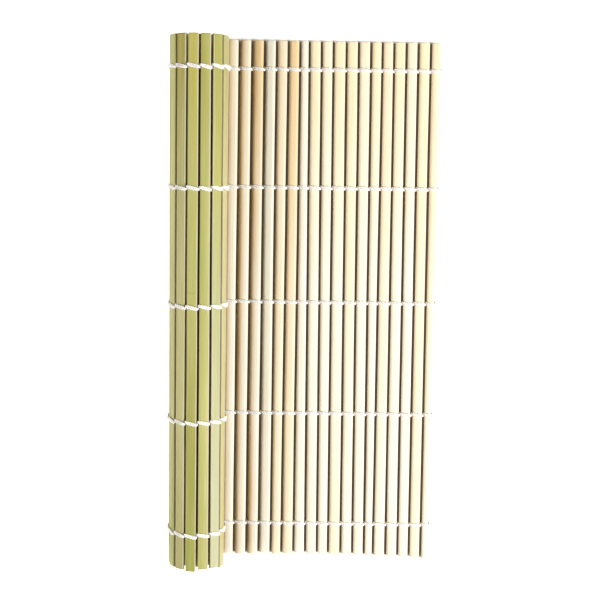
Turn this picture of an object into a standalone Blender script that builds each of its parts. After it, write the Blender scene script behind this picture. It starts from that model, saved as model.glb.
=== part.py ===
# Sushi rolling mat: split bamboo slats twined with five rows of cotton string.
# The free part lies flat at +X, and the rest is rolled up over itself at -X.
# The slats run along Y, +Z is up, and every size below is in metres.

import math
from collections import namedtuple

import bmesh
import bpy
from mathutils import Vector

MM = 0.001

# Slats: green skin on the flat face, cream and rounded over on the other face.
# Their middle lies a little in front of the middle of the string rows.
SLAT_COUNT = 43
SLAT_LENGTH = 239.4 * MM
SLAT_SHIFT = -1.2 * MM
SLAT_THICKNESS = 2.0 * MM
SLAT_ROUNDING = 1.5 * MM
SLAT_GAP = 1.0 * MM
PLAIN_PITCH = 5.5 * MM

# A slat hinges on its neighbour at this height above its green face
HINGE_HEIGHT = 0.7 * MM

# Strings: each crosses over the slats' rounded faces and under their green faces in turn.
# The heights of a string's two faces are measured from the slats' green faces.
STRING_WIDTH = 1.0 * MM
STRING_OFFSET = 0.7 * MM
STRING_IN_GAP = 0.3 * MM
UNDER_TOP = -0.3 * MM
UNDER_BOTTOM = -0.65 * MM
OVER_EDGE = 1.9 * MM
OVER_EDGE_TOP = 2.2 * MM
OVER_CROWN = 2.45 * MM
OVER_CROWN_TOP = 2.8 * MM

# The roll is a spiral that starts on the flat part, a little wider at the back end (+Y)
FREE_EDGE_X = 62.9 * MM
ROLL_X = -45.2 * MM
ROLL_RADIUS_BACK = 14.7 * MM
ROLL_RADIUS_FRONT = 14.25 * MM
LAYER_SPACING = 4.2 * MM
SEARCH_STEP = 0.004
SEARCH_HALVINGS = 30

# Colours of the two faces and of the string
CREAM = (0.86, 0.74, 0.50)
PALE_CREAM = (0.90, 0.84, 0.68)
GREEN = (0.42, 0.44, 0.16)
OLIVE = (0.36, 0.30, 0.10)
COTTON = (0.92, 0.91, 0.88)
BAMBOO_ROUGHNESS = 0.55
COTTON_ROUGHNESS = 0.95

# Each string row lies along its flat y and wanders to its roll y between these two slats,
# in millimetres
LAST_FLAT = 17
FIRST_OUTER = 24
StringRow = namedtuple("StringRow", "flat_y roll_y")
STRING_ROWS = [
    StringRow(105.9, 104.7),
    StringRow(52.4, 51.8),
    StringRow(-0.5, -0.8),
    StringRow(-52.8, -53.0),
    StringRow(-105.6, -104.7),
]

# Uneven slats from the free edge inwards: the pitch at the back and the front end of a span,
# and how far the front end stands out past its neighbours, all in millimetres
PITCH_SPAN = 240 * MM
Slat = namedtuple("Slat", "back_pitch front_pitch front_overhang")
MEASURED_SLATS = [
    Slat(5.2, 4.0, 1.6),
    Slat(5.6, 5.5, 1.0),
    Slat(5.4, 5.4, 0.8),
    Slat(5.6, 5.7, 0.5),
    Slat(5.3, 5.9, 0.5),
    Slat(5.2, 4.3, 0.3),
    Slat(5.6, 5.5, 0.1),
    Slat(5.6, 5.6, -0.1),
    Slat(5.9, 5.9, 0.0),
    Slat(5.4, 5.3, -0.3),
    Slat(5.5, 5.6, -0.2),
    Slat(4.2, 5.6, -0.4),
    Slat(5.3, 5.7, -0.1),
    Slat(5.4, 5.1, 0.3),
    Slat(5.4, 5.7, -0.2),
    Slat(5.7, 5.8, 0.2),
    Slat(5.8, 5.9, 0.3),
    Slat(5.9, 5.7, 0.1),
    Slat(6.0, 5.7, 0.0),
    Slat(5.9, 5.7, -0.2),
    Slat(6.0, 5.8, 0.2),
    Slat(5.9, 5.7, 0.0),
    Slat(6.0, 5.8, 0.1),
    Slat(5.9, 5.7, -0.1),
    Slat(6.0, 5.8, 0.3),
    Slat(5.7, 5.5, 0.4),
    Slat(5.5, 5.6, 0.9),
    Slat(5.3, 5.6, -0.1),
    Slat(5.9, 6.0, 0.1),
    Slat(5.6, 5.5, 1.0),
]

# Slats from this one on leave the floor, and the roll twists each a little along its length
FIRST_ROLLED = 20
ROLLED_LENGTHS = 4


def path_point(turn, radius):
    """A point (x, z) of the hinge line: flat before turn 0, a shrinking spiral after it."""
    hinge_z = HINGE_HEIGHT - UNDER_BOTTOM
    if turn <= 0:
        return Vector((ROLL_X - turn * radius, hinge_z))
    reach = radius - LAYER_SPACING * turn / math.tau
    return Vector((ROLL_X - reach * math.sin(turn), hinge_z + radius - reach * math.cos(turn)))


def next_turn(turn, radius, pitch):
    """The place on the path that lies one pitch further in, measured straight across."""
    start = path_point(turn, radius)
    far = turn + SEARCH_STEP
    while (path_point(far, radius) - start).length < pitch:
        far += SEARCH_STEP
    near = far - SEARCH_STEP
    for _ in range(SEARCH_HALVINGS):
        middle = (near + far) / 2
        if (path_point(middle, radius) - start).length < pitch:
            near = middle
        else:
            far = middle
    return far


def hinge_points():
    """The hinges between the slats at the back and the front end, from the free edge inwards."""
    radii = (ROLL_RADIUS_BACK, ROLL_RADIUS_FRONT)
    turns = [(ROLL_X - FREE_EDGE_X) / radius for radius in radii]
    points = [[path_point(turn, radius)] for turn, radius in zip(turns, radii)]
    for index in range(SLAT_COUNT):
        if index < len(MEASURED_SLATS):
            row = MEASURED_SLATS[index]
            pitches = (row.back_pitch * MM, row.front_pitch * MM)
            turns = [next_turn(*values) for values in zip(turns, radii, pitches)]
        else:
            # hidden slats turn by the same angle at both ends, so that they lie straight
            step = next_turn(turns[0], sum(radii) / 2, PLAIN_PITCH) - turns[0]
            turns = [turn + step for turn in turns]
        for line, turn, radius in zip(points, turns, radii):
            line.append(path_point(turn, radius))
    return points


class Mat:
    """Where each slat and each gap is, at any place along the slats."""

    def __init__(self):
        self.back, self.front = hinge_points()

    def hinge(self, index, y):
        share = y / PITCH_SPAN + 0.5
        return self.front[index].lerp(self.back[index], share)

    def slat_axes(self, index, y):
        """Both hinges of a slat, its direction along the path, and the way to its cream face."""
        start, end = self.hinge(index, y), self.hinge(index + 1, y)
        along = (end - start).normalized()
        return start, end, along, Vector((along.y, -along.x))

    def on_slat(self, index, across, y, height):
        """A point on a slat: across runs from -0.5 to 0.5 of its width."""
        start, end, along, inward = self.slat_axes(index, y)
        width = (end - start).length - SLAT_GAP
        place = (start + end) / 2 + along * across * width + inward * (height - HINGE_HEIGHT)
        return Vector((place.x, y, place.y))

    def in_gap(self, index, shift, y, height):
        """A point in the gap before a slat, mitred so that its height is that of both slats."""
        before = self.slat_axes(max(index - 1, 0), y)
        after = self.slat_axes(min(index, SLAT_COUNT - 1), y)
        inward = (before[3] + after[3]).normalized()
        along = (before[2] + after[2]).normalized()
        mitre = inward.dot(after[3])
        place = self.hinge(index, y) + inward * ((height - HINGE_HEIGHT) / mitre) + along * shift
        return Vector((place.x, y, place.y))


def closed_mesh(bm, name):
    """A mesh of the finished body, with every face pointing outwards."""
    bm.normal_update()
    bmesh.ops.recalc_face_normals(bm, faces=bm.faces)
    mesh = bpy.data.meshes.new(name)
    bm.to_mesh(mesh)
    bm.free()
    return mesh


def slat_mesh(mat, index):
    """A bar with its two upper long edges rounded, laid between its hinges."""
    measured = index < len(MEASURED_SLATS)
    overhang = MEASURED_SLATS[index].front_overhang * MM if measured else 0.0
    bm = bmesh.new()
    bmesh.ops.create_cube(bm, size=1.0)
    width = PLAIN_PITCH - SLAT_GAP
    lengths = ROLLED_LENGTHS if index >= FIRST_ROLLED else 1
    bmesh.ops.scale(bm, vec=(width, SLAT_LENGTH, SLAT_THICKNESS), verts=bm.verts)
    bmesh.ops.translate(bm, vec=(0, 0, SLAT_THICKNESS / 2), verts=bm.verts)
    upper = [edge for edge in bm.edges
             if edge.calc_length() > SLAT_LENGTH / 2 and edge.verts[0].co.z > SLAT_THICKNESS / 2]
    bmesh.ops.bevel(bm, geom=upper, offset=SLAT_ROUNDING, segments=2, profile=0.5,
                    affect='EDGES', material=-1)
    for cut in range(1, lengths):
        bmesh.ops.bisect_plane(bm, geom=bm.verts[:] + bm.edges[:] + bm.faces[:],
                               plane_co=(0, (cut / lengths - 0.5) * SLAT_LENGTH, 0),
                               plane_no=(0, 1, 0))
    for vert in bm.verts:
        at_front_end = vert.co.y < -0.4 * SLAT_LENGTH
        y = vert.co.y + SLAT_SHIFT - (overhang if at_front_end else 0.0)
        vert.co = mat.on_slat(index, vert.co.x / width, y, vert.co.z)
    return closed_mesh(bm, "slat")


def row_place(row, index):
    """The y of a string row at a slat."""
    share = min(max((index - LAST_FLAT) / (FIRST_OUTER - LAST_FLAT), 0.0), 1.0)
    return (row.flat_y * (1 - share) + row.roll_y * share) * MM


def string_sections(mat, row, strand):
    """Four corners for each place along a string, from the free edge to the core of the roll."""
    sections = []

    def add(point, index, y, lower, upper):
        """Each of the string's two faces is given by a shift along the path and a height."""
        near, far = y - STRING_WIDTH / 2, y + STRING_WIDTH / 2
        sections.append([point(index, lower[0], near, lower[1]),
                         point(index, lower[0], far, lower[1]),
                         point(index, upper[0], far, upper[1]),
                         point(index, upper[0], near, upper[1])])

    half = STRING_IN_GAP / 2
    for index in range(SLAT_COUNT + 1):
        rising = (index + strand) % 2 == 0
        row_y = row_place(row, index)
        if rising:
            # up from under the slat before, then over the crown of the next one
            y = row_y - STRING_OFFSET
            add(mat.in_gap, index, y, (half, UNDER_BOTTOM), (-half, UNDER_TOP))
            add(mat.in_gap, index, y, (half, OVER_EDGE), (-half, OVER_EDGE_TOP))
            if index < SLAT_COUNT:
                add(mat.on_slat, index, row_y, (0.0, OVER_CROWN), (0.0, OVER_CROWN_TOP))
        else:
            # down from the crown of the slat before, then straight under the next one
            y = row_y + STRING_OFFSET
            add(mat.in_gap, index, y, (-half, OVER_EDGE), (half, OVER_EDGE_TOP))
            add(mat.in_gap, index, y, (-half, UNDER_BOTTOM), (half, UNDER_TOP))
    return sections


def string_mesh(mat, row, strand):
    """One string of a row, lofted through its sections and closed at both ends."""
    bm = bmesh.new()
    rings = [[bm.verts.new(point) for point in section]
             for section in string_sections(mat, row, strand)]
    for ring, following in zip(rings, rings[1:]):
        for side in range(4):
            after = (side + 1) % 4
            bm.faces.new((ring[side], ring[after], following[after], following[side]))
    bm.faces.new(rings[0][::-1])
    bm.faces.new(rings[-1])
    return closed_mesh(bm, "string")


def finish(name, colour, roughness):
    """A plain Principled material of its own for one piece."""
    material = bpy.data.materials.new(name)
    material.use_nodes = True
    shader = material.node_tree.nodes["Principled BSDF"]
    shader.inputs["Base Color"].default_value = (*colour, 1.0)
    shader.inputs["Roughness"].default_value = roughness
    shader.inputs["Metallic"].default_value = 0.0
    return material


def add_piece(collection, name, mesh, colour, roughness):
    piece = bpy.data.objects.new(name, mesh)
    mesh.materials.append(finish(name, colour, roughness))
    collection.objects.link(piece)
    return piece


def centre_on_floor(pieces):
    """Puts the middle of the whole mat's footprint over the origin, in the meshes."""
    corners = [vert.co for piece in pieces for vert in piece.data.vertices]
    middle = Vector([(min(co[axis] for co in corners) + max(co[axis] for co in corners)) / 2
                     for axis in range(2)] + [0.0])
    for piece in pieces:
        for vert in piece.data.vertices:
            vert.co -= middle


def build():
    for old in list(bpy.data.objects):
        bpy.data.objects.remove(old, do_unlink=True)
    collection = bpy.data.collections.new("sushi_rolling_mat")
    bpy.context.scene.collection.children.link(collection)
    mat = Mat()
    pieces = []
    for index in range(SLAT_COUNT):
        pair = (GREEN, OLIVE) if index >= FIRST_ROLLED else (CREAM, PALE_CREAM)
        pieces.append(add_piece(collection, "slat_%02d" % (index + 1), slat_mesh(mat, index),
                                pair[index % 2], BAMBOO_ROUGHNESS))
    for number, row in enumerate(STRING_ROWS, start=1):
        for strand, letter in enumerate("ab"):
            pieces.append(add_piece(collection, "string_%d_%s" % (number, letter),
                                    string_mesh(mat, row, strand), COTTON, COTTON_ROUGHNESS))
    centre_on_floor(pieces)


build()
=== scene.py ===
import math

import bmesh
import bpy
from mathutils import Matrix, Vector, noise


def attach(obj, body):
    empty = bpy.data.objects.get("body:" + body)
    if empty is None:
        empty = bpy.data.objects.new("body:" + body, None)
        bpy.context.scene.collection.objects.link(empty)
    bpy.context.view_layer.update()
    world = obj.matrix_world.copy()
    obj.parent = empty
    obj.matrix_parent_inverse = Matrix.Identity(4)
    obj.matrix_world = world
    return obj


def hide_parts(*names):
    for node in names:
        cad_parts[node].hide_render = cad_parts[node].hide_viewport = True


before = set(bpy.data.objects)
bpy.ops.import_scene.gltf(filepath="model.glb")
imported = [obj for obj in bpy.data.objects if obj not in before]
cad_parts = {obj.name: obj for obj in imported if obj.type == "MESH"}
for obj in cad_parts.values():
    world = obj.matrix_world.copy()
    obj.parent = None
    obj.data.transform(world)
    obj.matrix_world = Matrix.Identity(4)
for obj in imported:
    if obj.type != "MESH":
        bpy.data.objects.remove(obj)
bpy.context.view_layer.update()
scene = bpy.context.scene
mm = 0.001
touching = 0.001 * mm

# ---- camera
camera = {"place": (-0.00147, 0.06054, 0.55693), "tilt": -6.0, "turn": 0.9, "lens": 72.12}

lens = bpy.data.cameras.new("camera")
lens.lens = camera["lens"]
viewer = bpy.data.objects.new("camera", lens)
scene.collection.objects.link(viewer)
viewer.matrix_world = (Matrix.Translation(camera["place"])
                       @ Matrix.Rotation(math.radians(camera["tilt"]), 4, "X")
                       @ Matrix.Rotation(math.radians(camera["turn"]), 4, "Z"))
scene.camera = viewer
print("camera ready")


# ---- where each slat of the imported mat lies
gap = {"half": 0.5 * mm, "hinge": 0.7 * mm, "endReach": 0.05 * mm}   # between two slats of the mat

slatCount = sum(name.startswith("slat_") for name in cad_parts)
rowCount = sum(name.endswith("_a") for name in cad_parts)


def greenFace(node, atBack):
    # the two corners of a slat's green face at one of its ends, and the place of that end
    corners = [vert.co for vert in node.data.vertices]
    endY = max(co.y for co in corners) if atBack else min(co.y for co in corners)
    section = [Vector(pair) for pair in {(round(co.x, 6), round(co.z, 6)) for co in corners
                                         if abs(co.y - endY) < gap["endReach"]}]
    middle = sum(section, Vector((0, 0))) / len(section)
    section.sort(key=lambda point: math.atan2(point.y - middle.y, point.x - middle.x))
    sides = zip(section, section[1:] + section[:1])
    start, end = max(sides, key=lambda side: (side[1] - side[0]).length)
    if Vector((end.y - start.y, start.x - end.x)).dot(middle - start) < 0:
        start, end = end, start
    return endY, start, end


slatEnds = []
for number in range(1, slatCount + 1):
    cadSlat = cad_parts["slat_%02d" % number]
    slatEnds.append((greenFace(cadSlat, False), greenFace(cadSlat, True)))


def slatFrame(index, y):
    # both edges of the green face at y, the way across it, and the way to the cream face
    (frontY, frontStart, frontEnd), (backY, backStart, backEnd) = slatEnds[index]
    share = (y - frontY) / (backY - frontY)
    start, end = frontStart.lerp(backStart, share), frontEnd.lerp(backEnd, share)
    along = (end - start).normalized()
    return start, end, along, Vector((along.y, -along.x))


def onSlat(index, across, y, height):
    start, end, along, inward = slatFrame(index, y)
    place = (start + end) / 2 + along * across + inward * height
    return Vector((place.x, y, place.y))


def inGap(index, y, height):
    # a point in the gap before a slat, or beside the mat's own edge
    before = slatFrame(max(index - 1, 0), y)
    after = slatFrame(min(index, slatCount - 1), y)
    sides = []
    if index > 0:
        sides.append(before[1] + before[2] * gap["half"] + before[3] * gap["hinge"])
    if index < slatCount:
        sides.append(after[0] - after[2] * gap["half"] + after[3] * gap["hinge"])
    inward = (before[3] + after[3]).normalized()
    place = sum(sides, Vector((0, 0))) / len(sides)
    place += inward * (height - gap["hinge"]) / inward.dot(after[3])
    return Vector((place.x, y, place.y))


# ---- helpers for the finishes
def addNode(tree, kind, inputs, **settings):
    made = tree.nodes.new("ShaderNode" + kind)
    for name, value in settings.items():
        setattr(made, name, value)
    for name, value in inputs.items():
        if isinstance(value, bpy.types.NodeSocket):
            tree.links.new(value, made.inputs[name])
        else:
            made.inputs[name].default_value = value
    return made


def calc(tree, how, first, second=0.0):
    return addNode(tree, "Math", {0: first, 1: second}, operation=how).outputs[0]


def fade(tree, value, low, high, least=0.0, most=1.0):
    # a soft step of a value from low to high
    return addNode(tree, "MapRange", {"Value": value, "From Min": low, "From Max": high,
                                      "To Min": least, "To Max": most},
                   interpolation_type="SMOOTHSTEP").outputs["Result"]


def stretch(tree, vector, scale, shift=(0, 0, 0)):
    return addNode(tree, "Mapping", {"Vector": vector, "Scale": scale, "Location": shift}).outputs[0]


def softNoise(tree, place, values):
    found = addNode(tree, "TexNoise", {"Vector": place, "Scale": values["scale"],
                                       "Detail": values["detail"], "Roughness": values["roughness"]})
    return fade(tree, found.outputs["Fac"], *values["range"])


def blend(tree, factor, first, second):
    return addNode(tree, "Mix", {0: factor, 6: first, 7: second}, data_type="RGBA").outputs[2]


def blendValue(tree, factor, first, second):
    return addNode(tree, "Mix", {0: factor, 2: first, 3: second}, data_type="FLOAT").outputs[0]


def toneRamp(tree, share, names):
    # tones from the back of a slat to its front, evenly apart, the outer ones a little way in
    inset = 0.05
    made = addNode(tree, "ValToRGB", {"Fac": share})
    ramp = made.color_ramp
    while len(ramp.elements) < len(names):
        ramp.elements.new(0.5)
    for index, name in enumerate(reversed(names)):
        ramp.elements[index].position = inset + (1 - 2 * inset) * index / (len(names) - 1)
        ramp.elements[index].color = (*tone[name], 1)
    return made.outputs["Color"]


def sharedGroup(name, inputs, outputs):
    group = bpy.data.node_groups.new(name, "ShaderNodeTree")
    for socket, kind in inputs:
        group.interface.new_socket(name=socket, in_out="INPUT", socket_type="NodeSocket" + kind)
    for socket in outputs:
        group.interface.new_socket(name=socket, in_out="OUTPUT", socket_type="NodeSocketFloat")
    return group, group.nodes.new("NodeGroupInput"), group.nodes.new("NodeGroupOutput")


grains = {   # "along" draws a grain out along the fibres, and "range" is where it fades in
    "Fibre": {"along": 0.014, "scale": 3800, "detail": 3.0, "roughness": 0.6, "range": (0.3, 0.7)},
    "Streak": {"along": 0.02, "scale": 1100, "detail": 2.0, "roughness": 0.55, "range": (0.32, 0.68)},
    "Cloud": {"along": 0.12, "scale": 160, "detail": 2.0, "roughness": 0.55, "range": (0.3, 0.7)},
    "Bundle": {"along": 0.02, "scale": 2300, "randomness": 0.9, "range": (0.34, 0.16)},
    "Hair": {"scale": 9000, "detail": 3.0, "roughness": 0.7, "range": (0.3, 0.7)},
    "Lump": {"scale": 1500, "detail": 2.0, "roughness": 0.55, "range": (0.3, 0.7)},
}


def bambooGrain():
    # long fibres, wider streaks, slow clouding, and the dark bundles that show as dots at a cut end
    group, given, result = sharedGroup("bambooGrain", [("Place", "Vector")],
                                       ["Fibre", "Streak", "Cloud", "Bundle"])
    for name in ("Fibre", "Streak", "Cloud"):
        drawn = stretch(group, given.outputs["Place"], (1, grains[name]["along"], 1))
        group.links.new(softNoise(group, drawn, grains[name]), result.inputs[name])
    values = grains["Bundle"]
    drawn = stretch(group, given.outputs["Place"], (1, values["along"], 1))
    cells = addNode(group, "TexVoronoi", {"Vector": drawn, "Scale": values["scale"],
                                          "Randomness": values["randomness"]})
    group.links.new(fade(group, cells.outputs["Distance"], *values["range"]), result.inputs["Bundle"])
    return group


def cottonFibre():
    # fine hairs and soft lumps
    group, given, result = sharedGroup("cottonFibre", [("Place", "Vector")], ["Hair", "Lump"])
    for name in ("Hair", "Lump"):
        group.links.new(softNoise(group, given.outputs["Place"], grains[name]), result.inputs[name])
    return group


grainGroup = bambooGrain()
cottonGroup = cottonFibre()
print("shared grain ready")


# ---- slats
slat = {
    "thickness": 2.0 * mm, "crownRounding": 1.25 * mm, "crownSegments": 7, "crownFall": 0.16 * mm,
    "skinRounding": 0.16 * mm, "skinSegments": 2, "roundingLimit": 0.36,
    "endRounding": 0.34 * mm, "endRings": (0.03, 0.12, 0.34, 1.0), "cutSpacing": 5.0 * mm,
    "sway": 0.09 * mm, "swayLength": 45 * mm, "unevenness": 0.035 * mm,
    "swellLength": 17 * mm, "swellWidth": 2.2 * mm, "seedSteps": (3.7, 1.3, 5.9),
}

wood = {   # heights are shares of a slat's thickness, and the reach of the painted shade on the left is a share of its width
    # flank values: partly the warmer tone of a slat's cut sides, partly painted shade on its sloping
    # sides
    "flankHeights": (0.93, 0.25), "flatFlank": 0.4, "rolledFlank": 0.95,
    # left values: a painted shade over the left half of a flat slat's face, the side turned from the
    # key light
    "leftShadeReach": (-0.1, 0.36), "leftShadeUneven": (0.75, 1.25),
    "streaks": 0.24, "fibres": 0.34, "bundles": 0.14,
    # foot values: painted shade low on the flanks, deep in the gaps between slats; the inner-face
    # values keep it off a rolled slat's inner face
    "flatGapShade": (0.74, 0.36), "rolledGapShade": (0.15, 0.45), "innerFace": (0.97, 0.7), "gapShadeStrength": 0.92,
    "worn": (0.2, 0.7), "skinFibres": 0.36, "skinEdge": (0.17 * mm, 0.08 * mm),
    "rimWander": 0.25 * mm, "rimSoftness": 0.08 * mm,
    "ringPlace": {27: 6.7 * mm}, "ringHalfWidth": 0.5 * mm, "ringBow": 120.0, "ringShade": 0.5,
    "ringRelief": 1.5, "endBundles": 0.75, "endCover": 0.85,
    "fleshRoughness": 0.62, "skinRoughness": 0.46, "roughnessSpread": 0.16,
    "streakRelief": 0.4, "relief": 0.05 * mm, "reliefStrength": 0.55, "specular": 0.25,
    "grainShift": (0.0137, 0.61, 0.0071),
}

tone = {   # split bamboo's colours: cream flesh, worn edges, green skin; the warm browns also paint shade on the flanks, and the darkest brown is only painted shade deep in the gaps
    "ivory": (0.78, 0.72, 0.60), "cream": (0.78, 0.675, 0.49), "butter": (0.77, 0.655, 0.41),
    "grey": (0.70, 0.67, 0.55), "peach": (0.78, 0.62, 0.43), "honey": (0.70, 0.49, 0.22),
    # the darkest brown below is painted shade for deep in the gaps between slats
    "amber": (0.50, 0.28, 0.08), "shadeBrown": (0.16, 0.08, 0.018), "sawn": (0.62, 0.50, 0.30),
    "sand": (0.49, 0.43, 0.23), "straw": (0.45, 0.40, 0.17), "wheat": (0.43, 0.37, 0.08),
    "tan": (0.355, 0.315, 0.12), "mustard": (0.29, 0.235, 0.02), "moss": (0.30, 0.28, 0.06),
    "olive": (0.26, 0.27, 0.045), "lime": (0.33, 0.32, 0.085), "leaf": (0.40, 0.385, 0.115),
    "sage": (0.35, 0.36, 0.21), "mint": (0.42, 0.42, 0.29),
}

# the flat slats from the free edge: cream face at the back, middle and front, then the tone of the
# flanks, partly painted shade, and how strongly a painted shade in that tone covers the left half of
# the face
flatLooks = [
    ("peach", "cream", "ivory", "honey", 0.1), ("butter", "cream", "cream", "honey", 0.1),
    ("cream", "ivory", "ivory", "peach", 0.1), ("butter", "ivory", "ivory", "honey", 0.1),
    ("peach", "cream", "ivory", "honey", 0.1), ("butter", "ivory", "ivory", "peach", 0.1),
    ("cream", "ivory", "ivory", "honey", 0.1), ("butter", "cream", "ivory", "honey", 0.1),
    ("butter", "ivory", "cream", "peach", 0.1), ("cream", "ivory", "ivory", "honey", 0.1),
    ("butter", "ivory", "ivory", "honey", 0.1), ("ivory", "ivory", "ivory", "peach", 0.1),
    ("honey", "peach", "cream", "honey", 0.4), ("peach", "cream", "cream", "honey", 0.3),
    ("grey", "grey", "ivory", "peach", 0.1), ("honey", "ivory", "ivory", "amber", 1.0),
    ("cream", "ivory", "ivory", "amber", 0.9), ("cream", "ivory", "ivory", "amber", 0.6),
    ("cream", "cream", "cream", "amber", 0.3), ("cream", "cream", "cream", "amber", 0.3),
]

# the slats of the roll: green skin from the back to the front, then its two worn rims in mm
rolledLooks = {
    25: ("lime", "leaf", "tan", "tan", "olive", 0.0, 0.0),
    26: ("mustard", "tan", "straw", "straw", "tan", 0.0, 0.2),
    27: ("wheat", "leaf", "leaf", "moss", "olive", 0.0, 0.3),
    28: ("moss", "lime", "lime", "leaf", "lime", 0.0, 0.4),
    29: ("moss", "lime", "sage", "mint", "mint", 0.3, 0.1),
    30: ("tan", "sand", "sand", "sand", "straw", 0.2, 0.3),
}
plainSkins = [("lime", "leaf", "tan", "moss", "lime"), ("wheat", "tan", "leaf", "lime", "olive"),
              ("moss", "leaf", "straw", "lime", "tan")]


def slatMaterial(number, width, length):
    rolled = number > len(flatLooks)
    flesh = ("cream", "peach", "cream", "sage", 0.0) if rolled else flatLooks[number - 1]
    skin = rolledLooks.get(number, (*plainSkins[number % 3], 0.0, 0.0))
    material = bpy.data.materials.new("bamboo_slat_%02d" % number)
    material.use_nodes = True
    tree = material.node_tree
    shader = tree.nodes["Principled BSDF"]
    place = addNode(tree, "Attribute", {}, attribute_name="place").outputs["Vector"]
    cut = addNode(tree, "Attribute", {}, attribute_name="cut").outputs["Fac"]
    across, along, height = addNode(tree, "SeparateXYZ", {0: place}).outputs
    grain = tree.nodes.new("ShaderNodeGroup")
    grain.node_tree = grainGroup
    shift = [number * step for step in wood["grainShift"]]
    tree.links.new(stretch(tree, place, (1, 1, 1), shift), grain.inputs["Place"])
    fibre, streak, cloud, bundle = [grain.outputs[n] for n in ("Fibre", "Streak", "Cloud", "Bundle")]
    lengthwise = calc(tree, "ADD", calc(tree, "DIVIDE", along, length), 0.5)

    # cream flesh: warmer on the flanks, partly its own tone and partly painted shade, with painted
    # shade over the left half of a flat slat's face, fine fibres and a few darker bundles
    cream = toneRamp(tree, lengthwise, flesh[:3])
    thickness = slat["thickness"]
    flank = fade(tree, height, *[share * thickness for share in wood["flankHeights"]])
    # painted shade over the left half of the face, the side turned from the key light
    left = fade(tree, across, *[share * width for share in wood["leftShadeReach"]])
    left = calc(tree, "MULTIPLY", left, blendValue(tree, cloud, *wood["leftShadeUneven"]))
    flank = calc(tree, "MULTIPLY", flank, wood["rolledFlank"] if rolled else wood["flatFlank"])
    flank = calc(tree, "MAXIMUM", flank, calc(tree, "MULTIPLY", left, flesh[4]))
    body = blend(tree, flank, cream, (*tone[flesh[3]], 1))
    body = blend(tree, calc(tree, "MULTIPLY", streak, wood["streaks"]), body, (*tone["honey"], 1))
    body = blend(tree, calc(tree, "MULTIPLY", fibre, wood["fibres"]), body, (*tone["ivory"], 1))
    body = blend(tree, calc(tree, "MULTIPLY", bundle, wood["bundles"]), body, (*tone["amber"], 1))
    darker = wood["rolledGapShade"] if rolled else wood["flatGapShade"]   # painted shade, deep in the gap between two slats
    gapShadeMask = fade(tree, height, *[share * thickness for share in darker])
    # on a rolled slat the painted gap shade stays off its inner face
    if rolled:
        inner = fade(tree, height, *[share * thickness for share in wood["innerFace"]])
        gapShadeMask = calc(tree, "MULTIPLY", gapShadeMask, inner)
    body = blend(tree, calc(tree, "MULTIPLY", gapShadeMask, wood["gapShadeStrength"]), body, (*tone["shadeBrown"], 1))

    # green skin on the flat face, worn to straw along streaks and down to the flesh at its rims
    green = toneRamp(tree, lengthwise, skin[:5])
    worn = calc(tree, "MULTIPLY", streak, blendValue(tree, cloud, *wood["worn"]))
    green = blend(tree, worn, green, (*tone["straw"], 1))
    green = blend(tree, calc(tree, "MULTIPLY", fibre, wood["skinFibres"]), green, (*tone["olive"], 1))
    relief = blendValue(tree, wood["streakRelief"], fibre, streak)
    if number in wood["ringPlace"]:   # a bowed ring where the cane had a joint
        bow = calc(tree, "MULTIPLY", calc(tree, "MULTIPLY", across, across), wood["ringBow"])
        away = calc(tree, "SUBTRACT", calc(tree, "SUBTRACT", along, bow), wood["ringPlace"][number])
        ring = fade(tree, calc(tree, "ABSOLUTE", away), wood["ringHalfWidth"], 0.0)
        green = blend(tree, calc(tree, "MULTIPLY", ring, wood["ringShade"]), green, (*tone["olive"], 1))
        relief = calc(tree, "ADD", relief, calc(tree, "MULTIPLY", ring, wood["ringRelief"]))
    face = fade(tree, height, *wood["skinEdge"])
    wander = calc(tree, "MULTIPLY", calc(tree, "SUBTRACT", cloud, 0.5), wood["rimWander"])
    for side, rim in ((1, skin[5]), (-1, skin[6])):
        inset = calc(tree, "ADD", calc(tree, "MULTIPLY", across, side), wander)
        edge = rim * mm - width / 2
        kept = fade(tree, inset, edge - wood["rimSoftness"], edge + wood["rimSoftness"])
        face = calc(tree, "MULTIPLY", face, kept)
    colour = blend(tree, face, body, green)

    # cut ends: tan, with the bundles as brown dots
    end = blend(tree, calc(tree, "MULTIPLY", bundle, wood["endBundles"]),
                (*tone["sawn"], 1), (*tone["amber"], 1))
    colour = blend(tree, calc(tree, "MULTIPLY", cut, wood["endCover"]), colour, end)
    tree.links.new(colour, shader.inputs["Base Color"])

    rough = blendValue(tree, face, wood["fleshRoughness"], wood["skinRoughness"])
    spread = calc(tree, "MULTIPLY", calc(tree, "SUBTRACT", fibre, 0.5), wood["roughnessSpread"])
    rough = calc(tree, "ADD", rough, spread)
    tree.links.new(rough, shader.inputs["Roughness"])
    bump = addNode(tree, "Bump", {"Height": relief, "Distance": wood["relief"],
                                  "Strength": wood["reliefStrength"]})
    tree.links.new(bump.outputs["Normal"], shader.inputs["Normal"])
    shader.inputs["Specular IOR Level"].default_value = wood["specular"]
    return material


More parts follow.
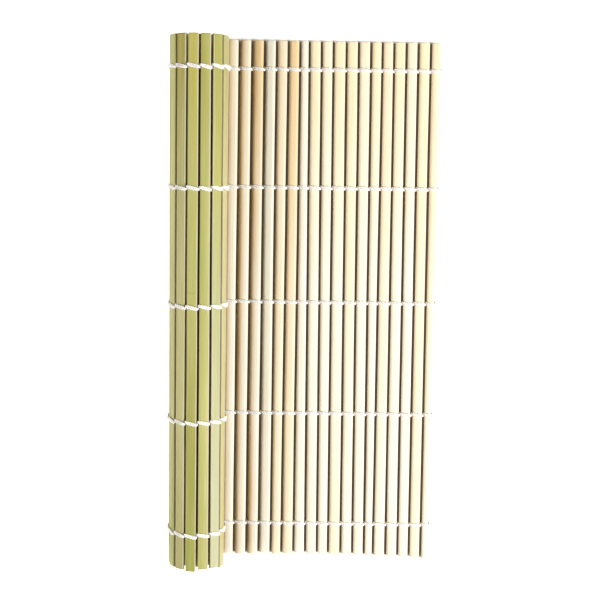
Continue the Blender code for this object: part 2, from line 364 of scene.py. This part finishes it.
def slatPiece(index):
    number = index + 1
    (frontY, frontStart, frontEnd), (backY, backStart, backEnd) = slatEnds[index]
    width = ((frontEnd - frontStart).length + (backEnd - backStart).length) / 2
    length = backY - frontY
    thickness = slat["thickness"]
    bm = bmesh.new()
    bmesh.ops.create_cube(bm, size=1.0)
    bmesh.ops.scale(bm, vec=(width, length, thickness), verts=bm.verts)
    bmesh.ops.translate(bm, vec=(0, 0, thickness / 2), verts=bm.verts)
    for upper, offset, segments in ((True, slat["crownRounding"], slat["crownSegments"]),
                                    (False, slat["skinRounding"], slat["skinSegments"])):
        level = thickness if upper else 0.0
        corners = [edge for edge in bm.edges if edge.calc_length() > length / 2
                   and abs(edge.verts[0].co.z - level) < touching
                   and abs(abs(edge.verts[0].co.x) - width / 2) < touching]
        bmesh.ops.bevel(bm, geom=corners, offset=min(offset, width * slat["roundingLimit"]),
                        segments=segments, profile=0.5, affect="EDGES", material=-1)
    cuts = int(length / slat["cutSpacing"])
    places = [length * (cut / cuts - 0.5) for cut in range(1, cuts)]
    for ring in slat["endRings"]:
        places += [length / 2 - ring * mm, ring * mm - length / 2]
    for place in places:
        bmesh.ops.bisect_plane(bm, geom=bm.verts[:] + bm.edges[:] + bm.faces[:],
                               plane_co=(0, place, 0), plane_no=(0, 1, 0))

    placeLayer = bm.verts.layers.float_vector.new("place")
    cutLayer = bm.verts.layers.float.new("cut")
    seed = Vector([number * step for step in slat["seedSteps"]])
    rounding = slat["endRounding"]
    for vert in bm.verts:
        x, y, z = vert.co
        vert[placeLayer] = vert.co
        depth = length / 2 - abs(y)
        vert[cutLayer] = 1.0 if depth < touching else 0.0
        if depth < rounding:   # the ends are sanded round
            inset = rounding - math.sqrt(max(rounding ** 2 - (rounding - depth) ** 2, 0.0))
            x *= 1 - 2 * inset / width
            z = thickness / 2 + (z - thickness / 2) * (1 - 2 * inset / thickness)
        z -= slat["crownFall"] * (2 * x / width) ** 2 * max(z / thickness * 2 - 1, 0)   # a gentle crown
        worldY = y + (frontY + backY) / 2
        start, end, along, inward = slatFrame(index, worldY)
        sway = noise.noise(seed + Vector((0, y / slat["swayLength"], 0))) * slat["sway"]
        ripple = Vector((x / slat["swellWidth"], y / slat["swellLength"], z / slat["swellWidth"]))
        swell = noise.noise(seed + ripple) * slat["unevenness"] * min(z / thickness * 2, 1)
        across = x * (end - start).length / width + sway + math.copysign(swell, x)
        vert.co = onSlat(index, across, worldY, z + swell)
    bm.normal_update()
    bmesh.ops.recalc_face_normals(bm, faces=bm.faces)
    for face in bm.faces:
        face.smooth = len(face.verts) < 5
    mesh = bpy.data.meshes.new("bamboo_slat_%02d" % number)
    bm.to_mesh(mesh)
    bm.free()
    piece = bpy.data.objects.new("bamboo_slat_%02d" % number, mesh)
    scene.collection.objects.link(piece)
    mesh.materials.append(slatMaterial(number, width, length))
    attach(piece, "root")
    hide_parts("slat_%02d" % number)


for index in range(slatCount):
    slatPiece(index)
print("slats ready:", slatCount)


# ---- strings
string = {
    "offset": 0.46 * mm, "overSlant": 0.30 * mm, "underSlant": 0.52 * mm,
    "gapHeight": 1.0 * mm, "gapHalfWidth": 0.58 * mm, "gapHalfDepth": 0.42 * mm,
    "overHalfWidth": 0.92 * mm, "overHalfDepth": 0.45 * mm, "settle": -0.2 * mm,
    "underHalfWidth": 0.95 * mm, "underHalfDepth": 0.45 * mm, "flatHalfDepth": 0.325 * mm,
    "crownLift": 0.6 * mm, "crownReach": 1.3 * mm,
    # how a string leaves a slat's face: set in from the slat's edge and down from the string's height
    "overEdge": (0.15 * mm, 0.14 * mm), "overShoulder": (1.25 * mm, 0.07 * mm),
    "underEdge": (-0.22 * mm, 0.2 * mm), "underShoulder": 0.85 * mm,
    "taper": 0.5 * mm, "pathCuts": 12, "swellLength": 1.7 * mm, "seedSteps": (7.1, 3.3, 5.7),
    "plies": 3, "plyRadius": 0.31 * mm, "twist": 3.6 * mm, "step": 0.36 * mm, "unevenness": 0.10,
    "firstRaised": 22,   # the slats before this one leave less room for a string below them
    "colour": (0.85, 0.82, 0.78), "shade": (0.75, 0.71, 0.66), "hairShade": 0.35,
    "roughness": 0.95, "smoother": 0.1, "relief": 0.04 * mm, "reliefStrength": 0.7, "specular": 0.15,
}


def rowPlaces(row):
    # where a row crosses each slat: the string that runs over it has the middle of its crown there
    points = []
    for strand in "ab":
        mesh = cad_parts["string_%d_%s" % (row, strand)].data
        points.append([tuple(vert.co) for vert in mesh.vertices])
    middle = sum(point[1] for point in points[0]) / len(points[0])
    places = []
    for index in range(slatCount):
        crown = onSlat(index, 0, middle, slat["thickness"] + string["crownLift"])
        near = [y for x, y, z in points[index % 2]
                if math.hypot(x - crown.x, z - crown.z) < string["crownReach"]]
        places.append(sum(near) / len(near))
    return places + places[-1:]


def stringKeys(rowYs, strand):
    # places that a string passes through, each with half its width and half its depth
    keys = []
    thickness = slat["thickness"]
    for index in range(slatCount + 1):
        rising = (index + strand) % 2 == 0
        side = -1 if rising else 1
        rowY = rowYs[index] + string["settle"]
        y = rowY + side * string["offset"]
        if index == 0:   # both strings of a row begin as one loop round the free edge
            y = rowY
        keys.append((inGap(index, y, string["gapHeight"]),
                     string["gapHalfWidth"], string["gapHalfDepth"]))
        if index == slatCount:
            break
        start, end = slatFrame(index, rowY)[:2]
        half = (end - start).length / 2
        if rising:
            depth = string["overHalfDepth"]
            (edge, drop), (shoulder, fall) = string["overEdge"], string["overShoulder"]
            profile = [(half - edge, thickness - drop), (half - shoulder, thickness + depth - fall),
                       (0, thickness + depth)]
            wide = string["overHalfWidth"]
        else:
            raised = index >= string["firstRaised"]
            depth = string["underHalfDepth" if raised else "flatHalfDepth"]
            edge, drop = string["underEdge"]
            profile = [(half - edge, -drop), (half - string["underShoulder"], -depth), (0, -depth)]
            wide = string["underHalfWidth"]
        profile = [(-across, height) for across, height in profile] + [
            (across, height) for across, height in profile[1::-1]]
        for across, height in profile:
            slant = -side * (string["overSlant"] if rising else string["underSlant"])
            share = 1 - abs(across) / (half + string["taper"])
            keys.append((onSlat(index, across, rowY + slant * across / half, height),
                         string["gapHalfWidth"] + (wide - string["gapHalfWidth"]) * min(2 * share, 1),
                         string["gapHalfDepth"] + (depth - string["gapHalfDepth"]) * min(2 * share, 1)))
    return keys


def smoothPath(keys):
    # an even walk along a smooth curve through the keys
    walk = []
    for index in range(len(keys) - 1):
        around = [keys[min(max(index + k, 0), len(keys) - 1)] for k in (-1, 0, 1, 2)]
        for cut in range(string["pathCuts"]):
            t = cut / string["pathCuts"]
            weights = ((-t + 2 * t * t - t ** 3) / 2, (2 - 5 * t * t + 3 * t ** 3) / 2,
                       (t + 4 * t * t - 3 * t ** 3) / 2, (t ** 3 - t * t) / 2)
            place = sum((weight * key[0] for weight, key in zip(weights, around)), Vector())
            walk.append((place, around[1][1] * (1 - t) + around[2][1] * t,
                         around[1][2] * (1 - t) + around[2][2] * t))
    walk.append(keys[-1])
    even, left = [walk[0]], 0.0
    for before, after in zip(walk, walk[1:]):
        left += (after[0] - before[0]).length
        if left >= string["step"]:
            even.append(after)
            left -= string["step"]
    return even


def stringPiece(row, strand, rowYs):
    name = "cotton_string_%d_%s" % (row, "ab"[strand])
    node = "string_%d_%s" % (row, "ab"[strand])
    walk = smoothPath(stringKeys(rowYs, strand))
    curve = bpy.data.curves.new(name, "CURVE")
    curve.dimensions = "3D"
    curve.bevel_depth = string["plyRadius"]
    curve.bevel_resolution = 1
    curve.use_fill_caps = True
    rowStep, strandStep, plyStep = string["seedSteps"]
    seed = row * rowStep + strand * strandStep
    for ply in range(string["plies"]):
        spline = curve.splines.new("POLY")
        spline.points.add(len(walk) - 1)
        travelled = 0.0
        for index, (place, halfWidth, halfDepth) in enumerate(walk):
            before, after = walk[max(index - 1, 0)][0], walk[min(index + 1, len(walk) - 1)][0]
            forward = (after - before).normalized()
            sideways = (Vector((0, 1, 0)) - forward * forward.y).normalized()
            outward = forward.cross(sideways)
            if index:
                travelled += (place - walk[index - 1][0]).length
            angle = math.tau * (travelled / string["twist"] + ply / string["plies"])
            spot = place + sideways * math.cos(angle) * (halfWidth - string["plyRadius"])
            spot += outward * math.sin(angle) * (halfDepth - string["plyRadius"])
            spline.points[index].co = (*spot, 1)
            spun = noise.noise(Vector((seed, ply * plyStep, travelled / string["swellLength"])))
            spline.points[index].radius = 1 + spun * string["unevenness"]
    path = bpy.data.objects.new(name + "_path", curve)
    scene.collection.objects.link(path)
    mesh = bpy.data.meshes.new_from_object(path.evaluated_get(bpy.context.evaluated_depsgraph_get()))
    bpy.data.objects.remove(path)
    bm = bmesh.new()
    bm.from_mesh(mesh)
    bmesh.ops.remove_doubles(bm, verts=bm.verts, dist=touching)
    bmesh.ops.recalc_face_normals(bm, faces=bm.faces)
    for face in bm.faces:
        face.smooth = True
    bm.to_mesh(mesh)
    bm.free()
    piece = bpy.data.objects.new(name, mesh)
    scene.collection.objects.link(piece)
    mesh.materials.clear()
    mesh.materials.append(cotton)
    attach(piece, "root")
    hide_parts(node)
    print(name, "faces", len(mesh.polygons))


def cottonMaterial():
    material = bpy.data.materials.new("cotton_string")
    material.use_nodes = True
    tree = material.node_tree
    shader = tree.nodes["Principled BSDF"]
    place = addNode(tree, "TexCoord", {}).outputs["Object"]
    fibre = tree.nodes.new("ShaderNodeGroup")
    fibre.node_tree = cottonGroup
    tree.links.new(place, fibre.inputs["Place"])
    hair, lump = fibre.outputs["Hair"], fibre.outputs["Lump"]
    colour = blend(tree, calc(tree, "MULTIPLY", hair, string["hairShade"]),
                   (*string["colour"], 1), (*string["shade"], 1))
    tree.links.new(colour, shader.inputs["Base Color"])
    smoother = calc(tree, "MULTIPLY", lump, string["smoother"])
    rough = calc(tree, "SUBTRACT", string["roughness"], smoother)
    tree.links.new(rough, shader.inputs["Roughness"])
    bump = addNode(tree, "Bump", {"Height": calc(tree, "ADD", hair, lump), "Distance": string["relief"],
                                  "Strength": string["reliefStrength"]})
    tree.links.new(bump.outputs["Normal"], shader.inputs["Normal"])
    shader.inputs["Specular IOR Level"].default_value = string["specular"]
    return material


cotton = cottonMaterial()
for row in range(1, rowCount + 1):
    rowYs = rowPlaces(row)
    for strand in (0, 1):
        stringPiece(row, strand, rowYs)
print("strings ready:", 2 * rowCount)


# ---- studio
studio = {
    "floorSize": 1.8, "floorDrop": 0.02 * mm, "floorColour": (0.90, 0.90, 0.89),
    "floorShade": (0.86, 0.86, 0.86), "floorRoughness": 0.9,
    "tooth": {"scale": 900, "detail": 2.0, "roughness": 0.55, "range": (0.3, 0.7)},
    "world": 0.11, "distance": 1.2,
    "key": {"azimuth": -12, "elevation": 40, "size": 0.6, "power": 24.0},
    "fill": {"azimuth": 186, "elevation": 30, "size": 0.9, "power": 13.0},
    "table": {"azimuth": 180, "elevation": 35, "size": 0.9, "power": 16.0},
}

bm = bmesh.new()
bmesh.ops.create_grid(bm, x_segments=1, y_segments=1, size=studio["floorSize"] / 2)
bmesh.ops.translate(bm, vec=(0, 0, -studio["floorDrop"]), verts=bm.verts)
floorMesh = bpy.data.meshes.new("floor")
bm.to_mesh(floorMesh)
bm.free()
floor = bpy.data.objects.new("floor", floorMesh)
scene.collection.objects.link(floor)
paper = bpy.data.materials.new("white_paper")
paper.use_nodes = True
paperTree = paper.node_tree
paperShader = paperTree.nodes["Principled BSDF"]
paperPlace = addNode(paperTree, "TexCoord", {}).outputs["Object"]
paperTooth = softNoise(paperTree, paperPlace, studio["tooth"])
paperColour = blend(paperTree, paperTooth, (*studio["floorColour"], 1), (*studio["floorShade"], 1))
paperTree.links.new(paperColour, paperShader.inputs["Base Color"])
paperShader.inputs["Roughness"].default_value = studio["floorRoughness"]
floorMesh.materials.append(paper)


def softLight(name):
    values = studio[name]
    light = bpy.data.lights.new(name, "AREA")
    light.shape = "DISK"
    light.size = values["size"]
    light.energy = values["power"]
    lamp = bpy.data.objects.new(name, light)
    scene.collection.objects.link(lamp)
    azimuth, elevation = math.radians(values["azimuth"]), math.radians(values["elevation"])
    toLamp = Vector((math.cos(azimuth) * math.cos(elevation),
                     math.sin(azimuth) * math.cos(elevation), math.sin(elevation)))
    lamp.location = toLamp * studio["distance"]
    lamp.rotation_euler = (-toLamp).to_track_quat("-Z", "Y").to_euler()
    return lamp


softLight("key")
softLight("fill")
table = bpy.data.collections.new("table")   # the third light falls on the table alone
table.objects.link(floor)
softLight("table").light_linking.receiver_collection = table

world = bpy.data.worlds.new("studio")
world.use_nodes = True
skyTree = world.node_tree
backdrop = skyTree.nodes["Background"]   # light all round, and white behind the table
backdrop.inputs["Color"].default_value = (1.0, 1.0, 1.0, 1)
straight = skyTree.nodes.new("ShaderNodeLightPath").outputs["Is Camera Ray"]
skyTree.links.new(blendValue(skyTree, straight, studio["world"], 1.0), backdrop.inputs["Strength"])
scene.world = world
scene.view_settings.view_transform = "Standard"
scene.view_settings.look = "None"
print("studio ready")
